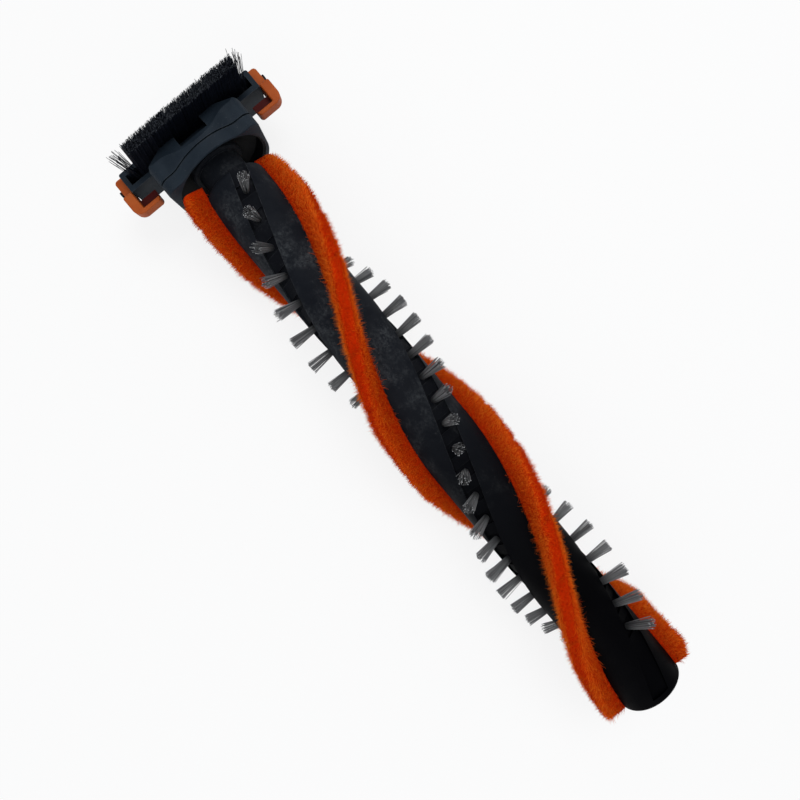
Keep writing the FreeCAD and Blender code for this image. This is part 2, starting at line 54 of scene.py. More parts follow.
# Roller: all strips are right-handed screws about the X axis.
HELIX_PITCH = 232.7 * MM
LAND_R = 13.0 * MM

# Plush fins: the body under the pile, and its wear near the free end.
PLUSH_TIP_R = 21.8 * MM
PLUSH_TOP = {"plush_strip_a": -178.7 * MM, "plush_strip_b": -62.3 * MM}
FIN_ROOT_R = 12.2 * MM
FIN_BASE_R = 13.2 * MM
FIN_SHOULDER_R = 17.4 * MM
FIN_BASE_HALF_W = 2.6 * MM
FIN_HALF_W = 2.85 * MM
FIN_BLOCK_GAP = 0.6 * MM
FIN_STATIONS = 320
CROWN_FULLNESS = 4.6
CROWN_STEPS = 6
FREE_END = {"plush_strip_a": 0.6 * MM, "plush_strip_b": 2.4 * MM}
WORN_CORNER = {"plush_strip_a": 2.6 * MM, "plush_strip_b": 0.0}
WORN_CORNER_L = 5.0 * MM
SWELLING = {"plush_strip_a": 2.4 * MM, "plush_strip_b": 0.0}
SWELLING_X = -27.0 * MM
SWELLING_L = 8.0 * MM
PARTINGS = 11
PARTING_SCATTER = 0.4
PARTING_DEPTH = 1.1 * MM
PARTING_W = 0.8 * MM

# Pile on the fins: how far it stands above the body, where it starts, its fibres and its trim at the block.
PILE_COVER = 1.3 * MM
PILE_ROOT_R = 13.1 * MM
PILE_DENSITY = 9.2e6
FIBRE_L = 2.4 * MM
FIBRE_R = 0.085 * MM
TRIM_L = 4.0 * MM
TRIM_LEFT = 0.2

# Bristle tufts: row 1 closes up along the roller, row 2 has an even step.
ROW_TOP = {"bristle_tufts_1": -234.0 * MM, "bristle_tufts_2": -117.6 * MM}
ROW_FIRST = {"bristle_tufts_1": -240.9 * MM, "bristle_tufts_2": -239.1 * MM}
ROW_STEP = {"bristle_tufts_1": 10.94 * MM, "bristle_tufts_2": 9.2 * MM}
ROW_CLOSING = {"bristle_tufts_1": 0.118 * MM, "bristle_tufts_2": 0.0}
ROW_COUNT = {"bristle_tufts_1": 23, "bristle_tufts_2": 24}
TUFT_SEAT_R = 10.0 * MM
TUFT_TIP_R = 22.4 * MM
TUFT_ROOT_R = 1.25 * MM
TUFT_SPREAD_R = 2.4 * MM
TUFT_EDGE = 0.08 * MM
TUFT_SPACING = 0.23 * MM
TUFT_FILAMENT_R = 0.12 * MM
TUFT_DISC_SIDES = 14
TUFT_LOOSE_FROM = 0.94
TUFT_LOOSE_TILT = 0.12
TUFT_BIAS = 0.12

# Skirt of the end block.
SKIRT_MID_X = -275.1 * MM
SKIRT_ROOT_Z = 0.6 * MM
SKIRT_TIP_Z = 21.5 * MM
SKIRT_HALF_L = 24.5 * MM
SKIRT_T = 3.8 * MM
SKIRT_TIP_T = 4.6 * MM
SKIRT_FAN = 0.5 * MM
SKIRT_LEAN = 2.9 * MM
SKIRT_BOW = 0.45 * MM
SKIRT_SPACING = 0.18 * MM
SKIRT_FILAMENT_R = 0.11 * MM
SKIRT_STRAY_L = 2.8 * MM
SKIRT_LOOSE_FROM = 0.992
SKIRT_ROWS = 90

# Most filaments on a square metre that a bed may get before their spacing thins them.
DENSITY_LIMIT = 9.0e7

# Painted shade darkens the roller from the first place on and makes it near black from the second on,
# covering its dust there.
FREE_END_SHADE_FROM_X = -175.0 * MM
FREE_END_SHADE_TO_X = -50.0 * MM

# Latches: heights between which painted shade darkens them, the inner face of their arms and how softly that
# shade ends there.
LATCH_PIT_Z = 0.5 * MM
LATCH_RIM_Z = 2.6 * MM
LATCH_ARM_Y = 31.9 * MM
LATCH_ARM_FADE = 0.3 * MM

# Floor, lamps and camera.
FLOOR_Z = -22.5 * MM
FLOOR_R = 2.5
FLOOR_SIDES = 64
MIDDLE = (-0.14, 0.0, 0.0)
KEY_PLACE = (-0.33, 0.33, 0.75)
FILL_PLACE = (0.25, -0.50, 0.6)
CAMERA_PLACE = (-0.1458, -0.0038, 0.2308)
CAMERA_TURN = 50.2
CAMERA_LENS = 27.0
CAMERA_SENSOR = 36.0


# Node trees.


def feed(tree, socket, value):
    """Link a value to a socket, or set it there."""
    if isinstance(value, (Number, Arrow)):
        tree.links.new(value.socket, socket)
    elif isinstance(value, bpy.types.NodeSocket):
        tree.links.new(value, socket)
    else:
        socket.default_value = value


def add(tree, kind, values=None, **settings):
    """A new node, with its settings and its inputs by name or by place."""
    node = tree.nodes.new(kind)
    for name, value in settings.items():
        setattr(node, name, value)
    for name, value in (values or {}).items():
        feed(tree, node.inputs[name], value)
    return node


class Number:
    """A number that changes over a tree's geometry or surface."""

    def __init__(self, tree, socket):
        self.tree = tree
        self.socket = socket

    def sum(self, operation, *values):
        """What a Math node makes of the values."""
        node = add(self.tree, "ShaderNodeMath", dict(enumerate(values)), operation=operation)
        return Number(self.tree, node.outputs[0])

    def __add__(self, other):
        return self.sum("ADD", self, other)

    def __sub__(self, other):
        return self.sum("SUBTRACT", self, other)

    def __rsub__(self, other):
        return self.sum("SUBTRACT", other, self)

    def __mul__(self, other):
        return self.sum("MULTIPLY", self, other)

    def __truediv__(self, other):
        return self.sum("DIVIDE", self, other)

    def power(self, other):
        return self.sum("POWER", self, other)

    def sine(self):
        return self.sum("SINE", self)

    def cosine(self):
        return self.sum("COSINE", self)

    def size(self):
        return self.sum("ABSOLUTE", self)

    def most(self, other):
        return self.sum("MAXIMUM", self, other)

    def ramp(self, low, high, start=0.0, end=1.0):
        """Smooth step from start to end as the number goes from low to high."""
        values = {"Value": self, "From Min": low, "From Max": high, "To Min": start, "To Max": end}
        node = add(self.tree, "ShaderNodeMapRange", values, interpolation_type="SMOOTHSTEP")
        return Number(self.tree, node.outputs[0])


class Arrow:
    """A direction or place that changes over a tree's geometry or surface."""

    def __init__(self, tree, socket):
        self.tree = tree
        self.socket = socket

    def sum(self, operation, *values):
        """A Vector Math node on the values."""
        return add(self.tree, "ShaderNodeVectorMath", dict(enumerate(values)), operation=operation)

    def __add__(self, other):
        return Arrow(self.tree, self.sum("ADD", self, other).outputs[0])

    def __sub__(self, other):
        return Arrow(self.tree, self.sum("SUBTRACT", self, other).outputs[0])

    def by(self, other):
        """Each part times the same part of another arrow."""
        return Arrow(self.tree, self.sum("MULTIPLY", self, other).outputs[0])

    def __mul__(self, number):
        node = add(self.tree, "ShaderNodeVectorMath", {0: self, "Scale": number}, operation="SCALE")
        return Arrow(self.tree, node.outputs[0])

    def unit(self):
        """The same direction with a length of one."""
        return Arrow(self.tree, self.sum("NORMALIZE", self).outputs[0])

    def dot(self, other):
        return Number(self.tree, self.sum("DOT_PRODUCT", self, other).outputs["Value"])

    def parts(self):
        """Its x, y and z as numbers."""
        node = add(self.tree, "ShaderNodeSeparateXYZ", {0: self})
        return [Number(self.tree, socket) for socket in node.outputs]


def arrow_of(tree, x, y, z):
    """Arrow from three numbers."""
    return Arrow(tree, add(tree, "ShaderNodeCombineXYZ", {0: x, 1: y, 2: z}).outputs[0])


def noise_field(tree, place, scale, detail=2.0, roughness=0.5):
    """Noise value and noise arrow round zero at a place."""
    values = {"Vector": place, "Scale": scale, "Detail": detail, "Roughness": roughness}
    node = add(tree, "ShaderNodeTexNoise", values)
    value = Number(tree, node.outputs[0])
    arrow = Arrow(tree, node.outputs[1]) - (0.5, 0.5, 0.5)
    return value, arrow


def random_number(tree, low, high, seed):
    """A random number for each point or instance."""
    node = add(tree, "FunctionNodeRandomValue", {2: low, 3: high, 8: seed}, data_type="FLOAT")
    return Number(tree, node.outputs[1])


def random_arrow(tree, seed):
    """A random arrow for each point or instance, within one unit each way."""
    low, high = (-1.0, -1.0, -1.0), (1.0, 1.0, 1.0)
    node = add(tree, "FunctionNodeRandomValue", {0: low, 1: high, 8: seed}, data_type="FLOAT_VECTOR")
    return Arrow(tree, node.outputs[0])


class Shaping:
    """A Geometry Nodes tree with named inputs, which makes one piece."""

    def __init__(self, name, inputs):
        self.tree = bpy.data.node_groups.new(name, "GeometryNodeTree")
        self.tree.interface.new_socket("Geometry", in_out="INPUT", socket_type="NodeSocketGeometry")
        self.sockets = {}
        for label, kind in inputs.items():
            socket = self.tree.interface.new_socket(label, in_out="INPUT", socket_type="NodeSocket" + kind)
            self.sockets[label] = socket
        self.tree.interface.new_socket("Geometry", in_out="OUTPUT", socket_type="NodeSocketGeometry")
        self.entry = self.tree.nodes.new("NodeGroupInput")
        self.exit = self.tree.nodes.new("NodeGroupOutput")

    def value(self, label):
        """The number of a named input."""
        return Number(self.tree, self.entry.outputs[label])

    def add(self, kind, values=None, **settings):
        return add(self.tree, kind, values, **settings)

    def place(self):
        return Arrow(self.tree, self.add("GeometryNodeInputPosition").outputs[0])

    def keep(self, geometry, label, value, data_type="FLOAT", domain="POINT"):
        """Store a value on the geometry under a name."""
        values = {"Geometry": geometry, "Name": label, "Value": value}
        kind = "GeometryNodeStoreNamedAttribute"
        return self.add(kind, values, data_type=data_type, domain=domain).outputs[0]

    def kept_arrow(self, label):
        node = self.add("GeometryNodeInputNamedAttribute", {"Name": label}, data_type="FLOAT_VECTOR")
        return Arrow(self.tree, node.outputs[0])

    def kept_number(self, label):
        node = self.add("GeometryNodeInputNamedAttribute", {"Name": label}, data_type="FLOAT")
        return Number(self.tree, node.outputs[0])

    def turned_to(self, arrow):
        """The rotation that points +Z along an arrow."""
        node = self.add("FunctionNodeAlignRotationToVector", {"Vector": arrow}, axis="Z")
        return node.outputs[0]

    def filament(self, sides, joints, radius, length):
        """One straight bristle that stands on the origin, with its place along itself stored."""
        values = {"Vertices": sides, "Side Segments": joints, "Radius": radius, "Depth": length}
        rod = self.add("GeometryNodeMeshCylinder", values, fill_type="NGON").outputs[0]
        lift = arrow_of(self.tree, 0.0, 0.0, length * 0.5)
        rod = self.add("GeometryNodeTransform", {"Geometry": rod, "Translation": lift}).outputs[0]
        along = self.place().parts()[2] / length
        return self.keep(rod, "along", along)

    def close(self, geometry):
        """End the tree in a plain mesh with its finish."""
        whole = self.add("GeometryNodeRealizeInstances", {"Geometry": geometry}).outputs[0]
        finish = {"Geometry": whole, "Material": self.entry.outputs["Finish"]}
        painted = self.add("GeometryNodeSetMaterial", finish).outputs[0]
        self.tree.links.new(painted, self.exit.inputs[0])

    def make(self, name, values, start=None):
        """Run the tree on a start mesh and return the result as a plain object."""
        mesh = start or bpy.data.meshes.new(name + "_start")
        maker = bpy.data.objects.new(name + "_maker", mesh)
        bpy.context.scene.collection.objects.link(maker)
        modifier = maker.modifiers.new("shape", "NODES")
        modifier.node_group = self.tree
        for label, value in values.items():
            modifier[self.sockets[label].identifier] = value
        depsgraph = bpy.context.evaluated_depsgraph_get()
        made = bpy.data.meshes.new_from_object(maker.evaluated_get(depsgraph))
        maker.modifiers.remove(modifier)
        bpy.data.objects.remove(maker)
        piece = bpy.data.objects.new(name, made)
        bpy.context.scene.collection.objects.link(piece)
        return piece


# Shared surface effects.


def effect_group(name, inputs, outputs):
    """An empty shader group with its inputs as numbers, its end node and the place on the object."""
    group = bpy.data.node_groups.new(name, "ShaderNodeTree")
    for label, start in inputs.items():
        socket = group.interface.new_socket(label, in_out="INPUT", socket_type="NodeSocketFloat")
        socket.default_value = start
    for label in outputs:
        group.interface.new_socket(label, in_out="OUTPUT", socket_type="NodeSocketFloat")
    entry = group.nodes.new("NodeGroupInput")
    given = {label: Number(group, entry.outputs[label]) for label in inputs}
    exit_node = group.nodes.new("NodeGroupOutput")
    spot = Arrow(group, add(group, "ShaderNodeTexCoord").outputs["Object"])
    return group, given, exit_node, spot


def build_grain():
    """Fine moulded grain for bump, and slow mottling for gloss."""
    group, given, end, spot = effect_group("moulded_grain", {"Grain": 2600.0}, ["Height", "Mottle"])
    fine, _ = noise_field(group, spot, given["Grain"], 3.0, 0.6)
    slow, _ = noise_field(group, spot, given["Grain"] * 0.045, 3.0, 0.6)
    feed(group, end.inputs["Height"], fine)
    feed(group, end.inputs["Mottle"], slow.ramp(0.3, 0.7))
    return group


def build_dust():
    """Patches of dry dust and rubbed streaks with specks of lint in them."""
    group, given, end, spot = effect_group("dust", {"Patch": 70.0, "Cover": 0.5}, ["Dust", "Lint"])
    patch, _ = noise_field(group, spot, given["Patch"], 5.0, 0.65)
    grit, _ = noise_field(group, spot, given["Patch"] * 14.0, 3.0, 0.7)
    edge = 0.72 - given["Cover"] * 0.36
    laid = patch.ramp(edge, edge + 0.2)
    feed(group, end.inputs["Dust"], laid * grit.ramp(0.3, 0.7))
    specks, _ = noise_field(group, spot, given["Patch"] * 40.0, 1.0, 0.5)
    feed(group, end.inputs["Lint"], specks.ramp(0.7, 0.76) * patch.ramp(0.4, 0.6))
    return group


def build_rub_and_highlight():
    """Worn corners, lightened also as painted edge highlights: where the surface turns within the given
    width.
    """
    group, given, end, spot = effect_group("rubbed_edges_and_highlights", {"Width": 0.0004}, ["Rub and highlight"])
    bent = Arrow(group, add(group, "ShaderNodeBevel", {"Radius": given["Width"]}, samples=6).outputs[0])
    flat = Arrow(group, add(group, "ShaderNodeNewGeometry").outputs["Normal"])
    turn = 1.0 - bent.dot(flat)
    broken, _ = noise_field(group, spot, 420.0, 3.0, 0.65)
    feed(group, end.inputs["Rub and highlight"], turn.ramp(0.02, 0.16) * broken.ramp(0.3, 0.62))
    return group


GRAIN = build_grain()
DUST = build_dust()
RUB_AND_HIGHLIGHT = build_rub_and_highlight()


# Finishes.


class Finish:
    """A material with its Principled shader, and the helpers that paint it."""

    def __init__(self, name, **constants):
        self.material = bpy.data.materials.new(name)
        self.material.use_nodes = True
        self.tree = self.material.node_tree
        self.shader = next(n for n in self.tree.nodes if n.type == "BSDF_PRINCIPLED")
        for label, value in constants.items():
            self.shader.inputs[label.replace("_", " ")].default_value = value
        self.spot = Arrow(self.tree, add(self.tree, "ShaderNodeTexCoord").outputs["Object"])

    def effect(self, group, output, **values):
        node = add(self.tree, "ShaderNodeGroup", node_tree=group)
        for label, value in values.items():
            feed(self.tree, node.inputs[label], value)
        return Number(self.tree, node.outputs[output])

    def kept(self, label):
        node = add(self.tree, "ShaderNodeAttribute", attribute_name=label)
        return Number(self.tree, node.outputs["Fac"])

    def normal(self):
        return Arrow(self.tree, add(self.tree, "ShaderNodeNewGeometry").outputs["Normal"])

    def mix(self, amount, first, second):
        """Colour between two colours."""
        def colour(value):
            return value if isinstance(value, bpy.types.NodeSocket) else (*value, 1.0)

        values = {0: amount, 6: colour(first), 7: colour(second)}
        return add(self.tree, "ShaderNodeMix", values, data_type="RGBA").outputs[2]

    def colour(self, socket):
        feed(self.tree, self.shader.inputs["Base Color"], socket)

    def roughness(self, number):
        feed(self.tree, self.shader.inputs["Roughness"], number)

    def bump(self, height, strength, depth):
        values = {"Height": height, "Strength": strength, "Distance": depth}
        node = add(self.tree, "ShaderNodeBump", values)
        feed(self.tree, self.shader.inputs["Normal"], node.outputs[0])


def shaded_towards_free_end(finish):
    """Where painted shade darkens the roller more and more towards its free end."""
    return finish.spot.parts()[0].ramp(FREE_END_SHADE_FROM_X, FREE_END_SHADE_TO_X)


def shaded_facing_axis(finish):
    """Where a face looks at the roller's axis, as the inside of the cup does; painted shade darkens it there.
    """
    return finish.spot.by((0.0, -1.0, -1.0)).unit().dot(finish.normal()).ramp(0.1, 0.4)


def shaded_inside_latch(finish):
    """Where painted shade darkens a latch's floor and the foot of its leg, which lie deep between their
    neighbours.
    """
    _, y, z = finish.spot.parts()
    behind_leg = finish.normal().parts()[0].ramp(0.2, 0.6, 1.0, 0.0)
    beside_arm = y.size().ramp(LATCH_ARM_Y - LATCH_ARM_FADE, LATCH_ARM_Y, 1.0, 0.0)
    return z.ramp(LATCH_PIT_Z, LATCH_RIM_Z, 1.0, 0.0) * beside_arm * behind_leg


GRAIN_SCALE = 2600.0
GRAIN_DEPTH = 0.2 * MM
RUB_AND_HIGHLIGHT_W = 0.35 * MM
LINT_GREY = (0.20, 0.20, 0.21)


def moulded(name, body, shade, dusty, cover, patch, rough, rub_and_highlight, specular, painted_shade=None, where=None):
    """Moulded plastic: mottled gloss, fine grain, dust in patches, and rubbed corners that also carry painted
    edge highlights.

    Where a mask is given, a painted shade colour covers all of that.
    """
    finish = Finish(name, Specular_IOR_Level=specular)
    mottle = finish.effect(GRAIN, "Mottle", Grain=GRAIN_SCALE)
    dust = finish.effect(DUST, "Dust", Patch=patch, Cover=cover)
    lint = finish.effect(DUST, "Lint", Patch=patch, Cover=cover)
    worn_and_lit = finish.effect(RUB_AND_HIGHLIGHT, "Rub and highlight", Width=RUB_AND_HIGHLIGHT_W)
    paint = finish.mix(mottle, body, shade)
    paint = finish.mix(dust * 0.75, paint, dusty)
    paint = finish.mix(lint * 0.2, paint, LINT_GREY)
    # Rubbed corners, lightened also as painted edge highlights.
    paint = finish.mix(worn_and_lit * 0.6, paint, rub_and_highlight)
    # Painted shade in the masked places.
    if where:
        paint = finish.mix(where(finish), paint, painted_shade)
    finish.colour(paint)
    finish.roughness(mottle * 0.12 + dust * 0.2 + rough)
    finish.bump(finish.effect(GRAIN, "Height", Grain=GRAIN_SCALE), 0.18, GRAIN_DEPTH)
    return finish.material


def turned_metal(name, body, dark, rough):
    """Ground or sintered metal with fine rings round its axis."""
    finish = Finish(name, Metallic=1.0)
    stretched = finish.spot.by((9.0, 1.0, 1.0))
    rings, _ = noise_field(finish.tree, stretched, 900.0, 3.0, 0.6)
    finish.colour(finish.mix(rings.ramp(0.3, 0.7), body, dark))
    finish.roughness(rings * 0.2 + rough)
    finish.bump(rings, 0.15, 0.1 * MM)
    return finish.material


# Reds of painted shade down in the pile: at the roots, up at the crown of the body and in gaps between
# clumps.
ROOT_SHADE_RED = (0.50, 0.026, 0.0009)
CROWN_SHADE_RED = (0.56, 0.027, 0.0009)
GAP_SHADE_RED = (0.26, 0.011, 0.0005)
FIBRE_ORANGE = (0.95, 0.115, 0.0025)
FIBRE_LIGHT = (0.98, 0.200, 0.0080)
# Golds of painted light: on the lit flanks and at the fibre ends, as if backlit.
FIBRE_LIT_GOLD = (0.95, 0.320, 0.0400)
BACKLIT_END_GOLD = (0.97, 0.400, 0.0700)


def plush_pile():
    """Orange pile: painted shade makes it deep red down in it, it is orange on its fibres, and painted light
    makes it golden on lit flanks and at the fibre ends.
    """
    finish = Finish("plush_pile", Roughness=0.9, Specular_IOR_Level=0.02)
    _, y, z = finish.spot.parts()
    height = (y * y + z * z).power(0.5).ramp(LAND_R, PLUSH_TIP_R)
    tone = finish.kept("tone")
    along = finish.kept("along")
    tangle, _ = noise_field(finish.tree, finish.spot, 900.0, 3.0, 0.65)
    # Painted shade: deep red down in the pile, darkest at the roots and in gaps between clumps.
    painted_shade = finish.mix(height, ROOT_SHADE_RED, CROWN_SHADE_RED)
    painted_shade = finish.mix(tangle.ramp(0.5, 0.68, 0.0, 0.5), painted_shade, GAP_SHADE_RED)
    clump, _ = noise_field(finish.tree, finish.spot, 240.0, 4.0, 0.6)
    tip = finish.mix(clump.ramp(0.35, 0.7), FIBRE_ORANGE, FIBRE_LIGHT)
    # Painted light: gold on the lit flanks, carried by the tone, and at the fibre ends as if backlit.
    tip = finish.mix(tone.ramp(0.65, 1.0, 0.0, 0.5), tip, FIBRE_LIT_GOLD)
    tip = finish.mix(along.ramp(0.6, 1.0, 0.0, 0.45), tip, BACKLIT_END_GOLD)
    bright = (tone * (along * 0.65 + 0.35) * (height * 0.5 + 0.5)).ramp(0.12, 0.75)
    fibre_end = along.ramp(0.4, 0.9, 0.0, 0.6)
    finish.colour(finish.mix(bright.most(fibre_end), painted_shade, tip))
    return finish.material


def filament_nylon(name, root, body, tip, tip_from, rough):
    """Bristle nylon: filaments lighter and darker, darkened towards the root by painted shade, some with a
    pale cut tip and some with a dark one.
    """
    finish = Finish(name, Roughness=rough, Specular_IOR_Level=0.2)
    along = finish.kept("along")
    tone = finish.kept("tone")
    cut = along.ramp(tip_from, 1.0)
    dark = tone.ramp(0.0, 0.55, 0.8, 0.0).most(cut * 0.7)
    # Painted shade: darker towards the root, down in the bundle.
    paint = finish.mix(along.ramp(0.0, 0.7), root, body)
    paint = finish.mix(dark, paint, root)
    paint = finish.mix(cut * tone.ramp(0.45, 0.8), paint, tip)
    finish.colour(paint)
    streaks, _ = noise_field(finish.tree, finish.spot, 3000.0, 2.0, 0.6)
    finish.bump(streaks, 0.2, 0.1 * MM)
    return finish.material


# Near black of the painted shade towards the roller's free end.
FREE_END_SHADE_BLACK = (0.0004, 0.0004, 0.0009)

core_plastic = moulded(
    "core_plastic",
    body=(0.0068, 0.0082, 0.0115), shade=(0.0104, 0.0120, 0.0155), dusty=(0.054, 0.059, 0.064),
    cover=0.68, patch=55.0, rough=0.50, rub_and_highlight=(0.065, 0.070, 0.078), specular=0.03,
    # Painted shade towards the free end.
    painted_shade=FREE_END_SHADE_BLACK, where=shaded_towards_free_end,
)
strip_rubber = moulded(
    "strip_rubber",
    body=(0.0045, 0.0050, 0.0072), shade=(0.0070, 0.0080, 0.0105), dusty=(0.038, 0.040, 0.043),
    cover=0.50, patch=90.0, rough=0.62, rub_and_highlight=(0.048, 0.051, 0.056), specular=0.03,
    # Painted shade towards the free end.
    painted_shade=FREE_END_SHADE_BLACK, where=shaded_towards_free_end,
)
block_plastic = moulded(
    "block_plastic",
    body=(0.0092, 0.0150, 0.0225), shade=(0.0140, 0.0215, 0.0305), dusty=(0.032, 0.038, 0.043),
    cover=0.35, patch=60.0, rough=0.48, rub_and_highlight=(0.075, 0.086, 0.096), specular=0.10,
    # The inside of the cup is painted with shade.
    painted_shade=(0.0016, 0.0020, 0.0030), where=shaded_facing_axis,
)
latch_plastic = moulded(
    "latch_plastic",
    body=(0.34, 0.062, 0.010), shade=(0.42, 0.090, 0.018), dusty=(0.36, 0.135, 0.055),
    cover=0.45, patch=90.0, rough=0.44, rub_and_highlight=(0.55, 0.22, 0.09), specular=0.12,
    # Painted shade inside the latches.
    painted_shade=(0.060, 0.0035, 0.0025), where=shaded_inside_latch,
)
washer_plastic = moulded(
    "washer_plastic",
    body=(0.66, 0.65, 0.61), shade=(0.72, 0.71, 0.68), dusty=(0.50, 0.48, 0.44),
    cover=0.2, patch=90.0, rough=0.4, rub_and_highlight=(0.75, 0.74, 0.71), specular=0.4,
)
ground_steel = turned_metal("ground_steel", body=(0.56, 0.56, 0.57), dark=(0.42, 0.42, 0.43), rough=0.24)
bush_bronze = turned_metal("bush_bronze", body=(0.50, 0.32, 0.16), dark=(0.36, 0.22, 0.10), rough=0.34)
plush = plush_pile()
tuft_nylon = filament_nylon(
    "tuft_nylon",
    root=(0.030, 0.031, 0.033), body=(0.200, 0.205, 0.210), tip=(0.62, 0.63, 0.64),
    tip_from=0.975, rough=0.42,
)
skirt_nylon = filament_nylon(
    "skirt_nylon",
    root=(0.0036, 0.0052, 0.0105), body=(0.0066, 0.0094, 0.0180), tip=(0.080, 0.092, 0.108),
    tip_from=0.97, rough=0.5,
)

FINISHES = {
    "core_plastic": core_plastic,
    "carrier_rubber": strip_rubber,
    "housing_plastic": block_plastic,
    "latch_plastic": latch_plastic,
    "washer_plastic": washer_plastic,
    "steel": ground_steel,
    "bronze": bush_bronze,
    "plush": plush,
    "tuft_nylon": tuft_nylon,
    "skirt_nylon": skirt_nylon,
}


# Plush fins.

# Waves along a fin's crown: waves in a metre, shift between the fins, layer of the noise and height.
CROWN_WAVES = [(140, 40, 1.7, 0.45 * MM), (60, 70, 5.2, 0.7 * MM)]


def bell(x, place, width):
    """One at a place, falling to nothing on both sides of it."""
    return math.exp(-(((x - place) / width) ** 2))


def fin_ring(x, top_x, tip_r):
    """Closed section of a plush fin at x: root in the channel, sides that widen, full round crown."""
    side = [(FIN_BASE_HALF_W, FIN_ROOT_R), (FIN_BASE_HALF_W, FIN_BASE_R), (FIN_HALF_W, FIN_SHOULDER_R)]
    for step in range(1, CROWN_STEPS + 1):
        turn = TURN / 4 * step / CROWN_STEPS
        rise = math.sin(turn) ** (2 / CROWN_FULLNESS)
        side.append((FIN_HALF_W * math.cos(turn), FIN_SHOULDER_R + (tip_r - FIN_SHOULDER_R) * rise))
    loop = side + [(-w, r) for w, r in reversed(side[:-1])]
    angle = TURN * (x - top_x) / HELIX_PITCH
    out = Vector((0, -math.sin(angle), math.cos(angle)))
    across = Vector((0, -math.cos(angle), -math.sin(angle)))
    return [Vector((x, 0, 0)) + out * r + across * w for w, r in loop]


def parting_places(x0, x1, top_x):
    """Places along a fin where its pile parts, unevenly spaced."""
    places = []
    for k in range(PARTINGS):
        shift = PARTING_SCATTER * noise.noise(Vector((k * 3.1, top_x * 90, 0.4)))
        places.append(x0 + (x1 - x0) * (k + 0.5 + shift) / PARTINGS)
    return places


def fin_rings(strip, top_x):
    """Sections of a fin: uneven and parted along its tips, swollen and worn near its free end."""
    low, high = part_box(strip)
    x0, x1 = low.x + FIN_BLOCK_GAP, high.x + FREE_END[strip]
    partings = parting_places(x0, x1, top_x)
    rings = []
    for k in range(FIN_STATIONS + 1):
        x = x0 + (x1 - x0) * k / FIN_STATIONS
        uneven = 0.0
        for waves, shift, layer, height in CROWN_WAVES:
            uneven += noise.noise(Vector((x * waves, top_x * shift, layer))) * height
        for place in partings:
            uneven -= PARTING_DEPTH * bell(x, place, PARTING_W)
        corner = max(0.0, 1.0 - (x1 - x) / WORN_CORNER_L)
        uneven -= WORN_CORNER[strip] * corner * corner
        uneven += SWELLING[strip] * bell(x, SWELLING_X, SWELLING_L)
        rings.append(fin_ring(x, top_x, PLUSH_TIP_R - PILE_COVER + uneven))
    return rings


def fin_mesh(strip, top_x):
    """Solid body of a fin: a skin over its sections, closed at both ends."""
    rings = fin_rings(strip, top_x)
    size = len(rings[0])
    faces = []
    for k in range(FIN_STATIONS):
        for j in range(size):
            a, b = k * size + j, k * size + (j + 1) % size
            faces.append((a, a + size, b + size, b))
    faces.append(tuple(range(size)))
    faces.append(tuple(FIN_STATIONS * size + j for j in reversed(range(size))))
    mesh = bpy.data.meshes.new(strip + "_body")
    mesh.from_pydata([point for ring in rings for point in ring], [], faces)
    mesh.validate()
    return mesh


